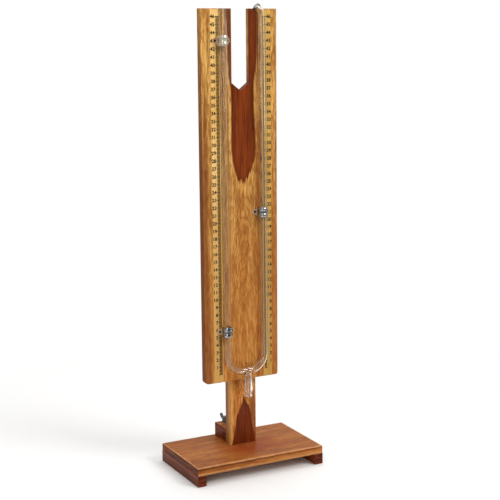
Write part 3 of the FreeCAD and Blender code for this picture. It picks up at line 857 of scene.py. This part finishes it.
def wing_nut_form():
    """A cast wing nut on Z, wings along X, seat at z = 0."""
    half_thickness = 1.0
    hub = turned([(4.2, 0.0), (4.45, 0.3), (4.4, 0.9), (3.95, 3.2), (3.65, 5.0), (3.3, NUT_HEIGHT)])
    outline = [(3.0, 1.0), (4.6, 1.5), (6.6, 2.7), (8.6, 4.2), (9.9, 5.9), (10.45, 7.6), (10.3, 9.2),
               (9.3, 10.3), (7.8, 10.45), (6.6, 9.8), (5.7, 8.6), (4.9, 7.0), (3.9, 5.7), (2.9, 5.0)]
    wings = bmesh.new()
    for side in (-1, 1):
        skin(wings, [[wings.verts.new((side * x, y, z)) for x, z in outline]
                     for y in (-half_thickness, half_thickness)])
    form = remeshed(combined(hub, wings, "UNION"), voxel=0.22, rounds=7)
    hole = BOLT_RADIUS + 0.06
    bore = turned([(hole, -1.0), (hole, 12.0)])
    return combined(form, bore, "DIFFERENCE")


def threaded(low, high, radius, depth, pitch):
    """A screw thread on Z as one helical skin between two heights, with a chamfered end."""
    form = bmesh.new()
    count, level, chamfer = 32, 0.1, 0.7
    rings = []
    for layer in range(int((high - low) / level) + 1):
        height = low + layer * level
        fade = min(1.0, max(0.0, (high - height) / chamfer))
        ring = []
        for index, (x, y) in enumerate(circle(1.0, count)):
            phase = (height / pitch - index / count) % 1.0
            groove = depth * abs(2 * phase - 1)
            reach = min(radius - groove, radius - depth * (1.2 - fade * 1.2))
            ring.append(form.verts.new((reach * x, reach * y, height)))
        rings.append(ring)
    skin(form, rings)
    return form


def washer_form(radius, hole):
    """A flat ring with its edges just rounded, lower face at z = 0."""
    soft, top = 0.15, WASHER_THICKNESS
    profile = [(hole, soft), (hole + soft, 0.0), (radius - soft, 0.0), (radius, soft),
               (radius, top - soft), (radius - soft, top), (hole + soft, top), (hole, top - soft)]
    return turned(profile, close_loop=True)


def clamp_parts():
    """Bolt with its thread and hexagon head, two washers and the wing nut."""
    seat = FEET_HEIGHT - WASHER_THICKNESS
    thread_start, beyond_nut = 24.0, 2.5
    head = [(3.3, -3.5), (4.05, -3.5), (4.6, -3.15), (4.6, -0.35), (4.3, 0.0), (3.3, 0.0)]
    bolt = moved(turned(head, count=6), Matrix.Translation((0, 0, seat)))
    shank = turned([(BOLT_RADIUS, seat), (BOLT_RADIUS, thread_start)], count=32)
    thread = threaded(thread_start, BOLT.z + NUT_HEIGHT + beyond_nut, BOLT_RADIUS, depth=0.42, pitch=0.8)
    for extra in (shank, thread):
        mesh = mesh_of("part", extra)
        bolt.from_mesh(mesh)
        bpy.data.meshes.remove(mesh)
    moved(bolt, Matrix.Translation((BOLT.x, BOLT.y, 0)))
    made("bolt_threaded", bolt, BOLT_STEEL, "bolt_steel", replaces=("clamp_bolt",))
    for name, low in (("lower_washer", seat), ("upper_washer", BOLT.z - WASHER_THICKNESS - 0.1)):
        ring = moved(washer_form(radius=5.0, hole=2.6), Matrix.Translation((BOLT.x, BOLT.y, low)))
        made(f"{name}_ring", ring, BOLT_STEEL, "bolt_steel", replaces=(name,))
    nut = moved(wing_nut_form(), Matrix.Translation(BOLT) @ Matrix.Rotation(WING_TURN, 4, "Z"))
    made("cast_wing_nut", nut, NUT_METAL, "nut_metal", body="nut", replaces=("wing_nut",))


# Numerals on the scales

def numerals(name, right_edge, ink):
    """The centimetre numbers up one scale, as one thin printed piece."""
    size, below_line = 6.3, 2.3
    text = bpy.data.curves.new(name, "FONT")
    text.body = "\n".join(str(number) for number in range(LAST_NUMBER, 0, -1))
    text.align_x = "RIGHT"
    text.size = size * MM
    text.space_line = CENTIMETRE / size
    text.offset = 0.24 * MM
    text.extrude = 0.012 * MM
    text.resolution_u = 3
    mesh = applied(placed(name, text))
    bottom = min(vertex.co.y for vertex in mesh.vertices)
    first = (SCALE_ZERO + CENTIMETRE - below_line) * MM
    shift = Matrix.Translation((right_edge * MM, (BOARD_FRONT - SCALE_THICKNESS) * MM, first - bottom))
    mesh.transform(shift @ Matrix.Rotation(math.radians(90), 4, "X"))
    mesh.materials.clear()
    piece(name, mesh, ink, "scale_print", sharp=None)


# Floor, light and camera

def studio_floor():
    ground = bmesh.new()
    bmesh.ops.create_grid(ground, x_segments=4, y_segments=4, size=6.0)
    mesh = bpy.data.meshes.new("studio_floor")
    ground.to_mesh(mesh)
    ground.free()
    mesh.materials.append(floor_look())
    placed("studio_floor", mesh)


def floor_look():
    """Pale floor with the object's shadow that fades into white and looks dimmer in glass and metal."""
    look = Look("studio_floor")
    speckle = look.noise(look.place, 5, detail=2)
    colour = look.mix(speckle, (0.87, 0.87, 0.865, 1), (0.885, 0.885, 0.885, 1))
    look.set(Base_Color=colour, Roughness=0.85, Specular_IOR_Level=0.15)
    rays = look.rays()
    glossy = rays["Is Glossy Ray"]
    mirrored = look.sum("ADD", glossy, rays["Is Transmission Ray"], clamp=True)
    seen = look.sum("ADD", rays["Is Camera Ray"], mirrored, clamp=True)
    far = look.times(look.step(look.distance(look.place), 0.22, 0.75), seen)
    in_front = look.step(look.xyz()[1], -0.05, -0.4)
    dimmed = look.sum("MAXIMUM", look.times(mirrored, in_front, 0.75), look.times(glossy, 0.6))
    white = look.add("ShaderNodeEmission")
    look.feed(white.inputs["Strength"], look.sum("SUBTRACT", 1.0, dimmed))
    look.surface(far, look.shader.outputs[0], white.outputs[0])
    return look.material


def studio_sky():
    """White for the camera and for what glass shows from behind, and a soft shade elsewhere."""
    world = bpy.data.worlds.new("studio")
    bpy.context.scene.world = world
    world.use_nodes = True
    sky = Nodes(world.node_tree)
    rays = sky.rays()
    way = sky.add("ShaderNodeSeparateXYZ")
    sky.feed(way.inputs[0], sky.add("ShaderNodeTexCoord").outputs["Generated"])
    rightward, backward, upward = way.outputs
    lifted = sky.sum("MULTIPLY_ADD", upward, 0.6, sky.sum("MULTIPLY_ADD", rightward, 0.55, 0.5))
    shade = sky.step(lifted, -0.2, 0.75, 0.1, 0.75)
    behind = sky.sum("DIVIDE", sky.sum("ADD", backward, 0.1), 0.3, clamp=True)
    glassy = sky.sum("MULTIPLY_ADD", rays["Is Glossy Ray"], 0.4, rays["Is Transmission Ray"], clamp=True)
    seen = sky.sum("MAXIMUM", rays["Is Camera Ray"], sky.times(glassy, behind))
    dimmed = sky.times(shade, sky.sum("MULTIPLY_ADD", glassy, -0.65, 1.0, clamp=True))
    level = sky.add("ShaderNodeMix")
    for index, value in ((0, seen), (2, dimmed), (3, 1.0)):
        sky.feed(level.inputs[index], value)
    background = sky.tree.nodes["Background"]
    sky.feed(background.inputs["Strength"], level.outputs[0])
    background.inputs["Color"].default_value = (1, 1, 1, 1)


def softbox(name, spot, aim, width, height, power):
    lamp = bpy.data.lights.new(name, "AREA")
    lamp.shape = "RECTANGLE"
    lamp.size, lamp.size_y = width, height
    lamp.energy = power
    lamp.color = (1.0, 0.985, 0.96)
    thing = placed(name, lamp)
    thing.location = spot
    thing.rotation_euler = (Vector(aim) - Vector(spot)).to_track_quat("-Z", "Y").to_euler()


def photo_camera():
    """The camera as it was fitted to the photo."""
    sensor, focal_pixels, picture_width = 36.0, 1187.5, 500
    azimuth, dip, roll = 0.482, 0.176, -0.008
    data = bpy.data.cameras.new("camera")
    data.sensor_width = sensor
    data.lens = focal_pixels / picture_width * sensor
    forward = Vector((math.sin(azimuth) * math.cos(dip), math.cos(azimuth) * math.cos(dip), -math.sin(dip)))
    level_right = Vector((math.cos(azimuth), -math.sin(azimuth), 0))
    level_up = level_right.cross(forward)
    right = math.cos(roll) * level_right + math.sin(roll) * level_up
    up = -math.sin(roll) * level_right + math.cos(roll) * level_up
    pose = Matrix((right, up, -forward)).transposed().to_4x4()
    pose.translation = Vector((-0.6946, -1.3552, 0.5603))
    camera = placed("camera", data)
    camera.matrix_world = pose
    bpy.context.scene.camera = camera


# Put it together

def dress_cad(name, material):
    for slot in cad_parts[name].material_slots:
        slot.material = material


dress_cad("scale_board", board_wood())
dress_cad("post", post_wood())
dress_cad("base_board", stand_wood("base_wood", srgb(176, 112, 54), srgb(160, 94, 42), srgb(112, 54, 20),
                                   srgb(126, 54, 22), (0.1, 0.0, 0.05), stain=0.7))
dress_cad("post_block", stand_wood("block_wood", srgb(186, 122, 60), srgb(156, 88, 40), srgb(104, 48, 20),
                                   srgb(138, 50, 16), (0.5, 0.2, 0.1)))
dress_cad("left_foot", foot_wood("left_foot_wood", (0.0, 0.3, 0.0)))
dress_cad("right_foot", foot_wood("right_foot_wood", (0.7, 0.1, 0.2)))
dress_cad("left_scale", scale_paper("left_scale_print", BOARD_LEFT + 26.0, side=1, start=1.0, length=1.12,
                                    paper=srgb(240, 198, 124), worn=srgb(222, 174, 96)))
dress_cad("right_scale", scale_paper("right_scale_print", BOARD_LEFT + 85.6, side=-1, start=2.2, length=0.8,
                                     paper=srgb(210, 168, 84), worn=srgb(190, 144, 68)))
INK = printed_ink()
numerals("left_numerals", BOARD_LEFT + 19.3, INK)
numerals("right_numerals", BOARD_LEFT + 98.4, INK)

glass_tube()
pressed_clip("pressed_clip_upper_left", UPPER_CLIP, -HALF_SPACING)
pressed_clip("pressed_clip_lower_left", LOWER_CLIP, -HALF_SPACING)
pressed_clip("pressed_clip_right", RIGHT_CLIP, HALF_SPACING)
lay_screws(clip_screw_form(), "clip_screw_", axis=1, end=0, shift=1.0)
lay_screws(flat_screw_form(radius=1.75, length=20.0, head=3.5, rise=2.2), "foot_screw_", axis=2, end=0)
lay_screws(flat_screw_form(radius=1.75, length=22.0, head=3.5, rise=2.2), "post_screw_", axis=1, end=1)
lay_screws(flat_screw_form(radius=2.0, length=45.0, head=4.0, rise=2.5), "block_screw_", axis=1, end=1)
clamp_parts()

studio_floor()
studio_sky()
softbox("key", spot=(1.2, -1.7, 2.0), aim=(0, 0, 0.32), width=0.9, height=1.1, power=29)
softbox("fill", spot=(-1.4, -1.6, 0.9), aim=(0, 0, 0.3), width=0.6, height=1.2, power=6)
softbox("top", spot=(0.2, 0.3, 2.2), aim=(0, 0, 0.2), width=1.2, height=1.2, power=15)
photo_camera()
bpy.context.scene.view_settings.view_transform = "Standard"

bpy.context.view_layer.update()
